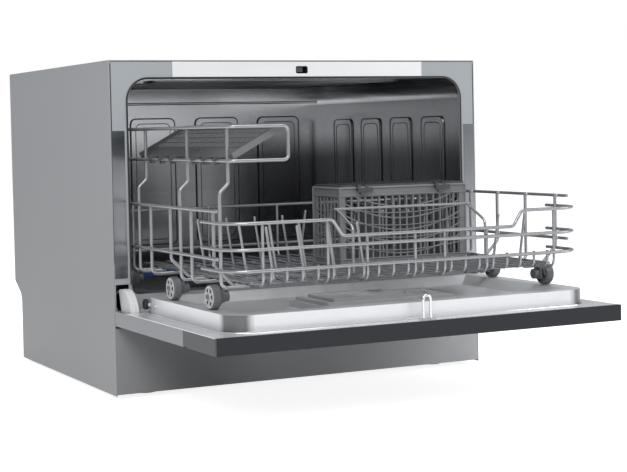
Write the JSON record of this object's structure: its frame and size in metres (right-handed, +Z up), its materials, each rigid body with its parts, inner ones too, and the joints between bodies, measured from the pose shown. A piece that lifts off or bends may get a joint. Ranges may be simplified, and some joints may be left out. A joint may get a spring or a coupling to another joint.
{
  "type": "countertop dishwasher",
  "caption": "Boxy countertop dishwasher with a drop-down stainless-lined door, a wheeled wire rack rolled out on it, a cup shelf, cutlery basket, spray arm and filter.",
  "frame": {"origin": "on the resting surface, under the middle of the bounding box", "axes": "+Z up, the door opens towards -Y, +X to the right of someone facing the door"},
  "size_m": [0.55, 0.801, 0.438],
  "materials": {
    "cabinet_paint": "satin grey paint",
    "plinth_paint": "dark grey paint",
    "stainless": "brushed stainless",
    "bright_stainless": "bright brushed stainless",
    "charcoal_plastic": "satin charcoal",
    "black_plastic": "matte black",
    "seal_rubber": "matte",
    "grey_plastic": "satin moulded",
    "dark_grey_plastic": "satin moulded",
    "pale_plastic": "satin moulded",
    "rack_wire": "grey nylon coating",
    "board_green": "solder mask"
  },
  "bodies": {
    "cabinet": {"outer_wrap": "cabinet_paint", "front_frame": "cabinet_paint", "top_trim": "bright_stainless", "column_strips": "bright_stainless", "kick_plate": "plinth_paint", "base_pan": "plinth_paint", "rear_panel": "cabinet_paint", "tub": "stainless", "door_gasket": "seal_rubber", "latch_catch": "black_plastic", "feet": "seal_rubber", "sump": "grey_plastic", "circulation_pump": "black_plastic", "drain_pump": "black_plastic", "heater": "stainless", "filter_plate": "stainless", "inlet_valve": "pale_plastic", "drain_spigot": "grey_plastic", "water_box": "pale_plastic", "hinge_brackets": "stainless", "door_springs": "stainless", "arm_riser": "grey_plastic", "float_tube": "grey_plastic", "cable_gland": "black_plastic"},
    "door": {"door_panel": "cabinet_paint", "control_panel": "charcoal_plastic", "door_edge_trim": "charcoal_plastic", "door_liner": "stainless", "dispenser_body": "dark_grey_plastic", "striker": "bright_stainless", "hinge_arms": "pale_plastic", "control_board": "board_green", "display_window": "charcoal_plastic"},
    "rack": {"rack_floor": "rack_wire", "rack_left": "rack_wire", "rack_right": "rack_wire", "rack_front": "rack_wire", "rack_back": "rack_wire", "rack_tines": "rack_wire", "basket_rail": "rack_wire", "guard_frame": "rack_wire", "axle_clips": "grey_plastic"},
    "spray_arm": {"spray_arm": "grey_plastic"},
    "filter": {"filter_cup": "grey_plastic"},
    "float": {"float_cap": "grey_plastic"},
    "dispenser_lid": {"dispenser_lid": "dark_grey_plastic"},
    "rinse_aid_cap": {"rinse_aid_cap": "dark_grey_plastic"},
    "power_button": {"power_button": "black_plastic"},
    "program_button": {"program_button": "black_plastic"},
    "start_button": {"start_button": "black_plastic"},
    "cup_shelf": {"cup_shelf": "grey_plastic"},
    "basket": {"cutlery_basket": "grey_plastic"},
    "basket_grid": {"basket_grid": "dark_grey_plastic"},
    "wheel_1": {"wheel_1": "grey_plastic"},
    "wheel_2": {"wheel_2": "grey_plastic"},
    "wheel_3": {"wheel_3": "grey_plastic"},
    "wheel_4": {"wheel_4": "grey_plastic"},
    "wheel_5": {"wheel_5": "grey_plastic"},
    "wheel_6": {"wheel_6": "grey_plastic"}
  },
  "joints": [
    {"name": "door_hinge", "type": "hinge", "parent": "cabinet", "child": "door", "pos_m": [0, -0.073, 0.1085], "axis": [1, 0, 0], "range_deg": [0, 1.5], "stiffness_Nm_per_rad": 2000},
    {"name": "rack_slide", "type": "slide", "parent": "cabinet", "child": "rack", "axis": [0, -1, 0], "range_m": [-0.327, 0]},
    {"name": "wheel_1_roll", "type": "hinge", "parent": "rack", "child": "wheel_1", "pos_m": [-0.232, -0.2945, 0.1505], "axis": [1, 0, 0], "continuous": true},
    {"name": "wheel_2_roll", "type": "hinge", "parent": "rack", "child": "wheel_2", "pos_m": [-0.232, -0.1695, 0.1505], "axis": [1, 0, 0], "continuous": true},
    {"name": "wheel_3_roll", "type": "hinge", "parent": "rack", "child": "wheel_3", "pos_m": [-0.232, -0.0055, 0.1505], "axis": [1, 0, 0], "continuous": true},
    {"name": "wheel_4_roll", "type": "hinge", "parent": "rack", "child": "wheel_4", "pos_m": [0.232, -0.2945, 0.1505], "axis": [1, 0, 0], "continuous": true},
    {"name": "wheel_5_roll", "type": "hinge", "parent": "rack", "child": "wheel_5", "pos_m": [0.232, -0.1695, 0.1505], "axis": [1, 0, 0], "continuous": true},
    {"name": "wheel_6_roll", "type": "hinge", "parent": "rack", "child": "wheel_6", "pos_m": [0.232, -0.0055, 0.1505], "axis": [1, 0, 0], "continuous": true},
    {"name": "shelf_fold", "type": "hinge", "parent": "rack", "child": "cup_shelf", "pos_m": [-0.232, -0.1955, 0.3095], "axis": [0, -1, 0], "range_deg": [0, 40]},
    {"name": "basket_lift", "type": "slide", "parent": "rack", "child": "basket", "axis": [0, 0, 1], "range_m": [0, 0.11]},
    {"name": "grid_hinge", "type": "hinge", "parent": "basket", "child": "basket_grid", "pos_m": [0.058, -0.2397, 0.2674], "axis": [1, 0, 0], "range_deg": [0, 100]},
    {"name": "spray_spin", "type": "hinge", "parent": "cabinet", "child": "spray_arm", "pos_m": [0, 0.1525, 0.1417], "axis": [0, 0, 1], "continuous": true},
    {"name": "filter_twist", "type": "hinge", "parent": "cabinet", "child": "filter", "pos_m": [0, 0.2485, 0.1177], "axis": [0, 0, 1], "range_deg": [0, 60]},
    {"name": "float_rise", "type": "slide", "parent": "cabinet", "child": "float", "axis": [0, 0, 1], "range_m": [0, 0.008]},
    {"name": "dispenser_lid_slide", "type": "slide", "parent": "door", "child": "dispenser_lid", "axis": [1, 0, 0], "range_m": [0, 0.03]},
    {"name": "rinse_cap_turn", "type": "hinge", "parent": "door", "child": "rinse_aid_cap", "pos_m": [0.048, -0.2755, 0.12975], "axis": [0, 0, 1], "range_deg": [0, 90]},
    {"name": "power_press", "type": "slide", "parent": "door", "child": "power_button", "axis": [0, 0, 1], "range_m": [0, 0.0006], "stiffness_N_per_m": 1500},
    {"name": "program_press", "type": "slide", "parent": "door", "child": "program_button", "axis": [0, 0, 1], "range_m": [0, 0.0006], "stiffness_N_per_m": 1500},
    {"name": "start_press", "type": "slide", "parent": "door", "child": "start_button", "axis": [0, 0, 1], "range_m": [0, 0.0006], "stiffness_N_per_m": 1500}
  ],
  "couplings": [
    {"joint": "wheel_1_roll", "follows": "rack_slide", "rad_per_m": 68.966},
    {"joint": "wheel_2_roll", "follows": "rack_slide", "rad_per_m": 68.966},
    {"joint": "wheel_3_roll", "follows": "rack_slide", "rad_per_m": 68.966},
    {"joint": "wheel_4_roll", "follows": "rack_slide", "rad_per_m": 68.966},
    {"joint": "wheel_5_roll", "follows": "rack_slide", "rad_per_m": 68.966},
    {"joint": "wheel_6_roll", "follows": "rack_slide", "rad_per_m": 68.966}
  ]
}
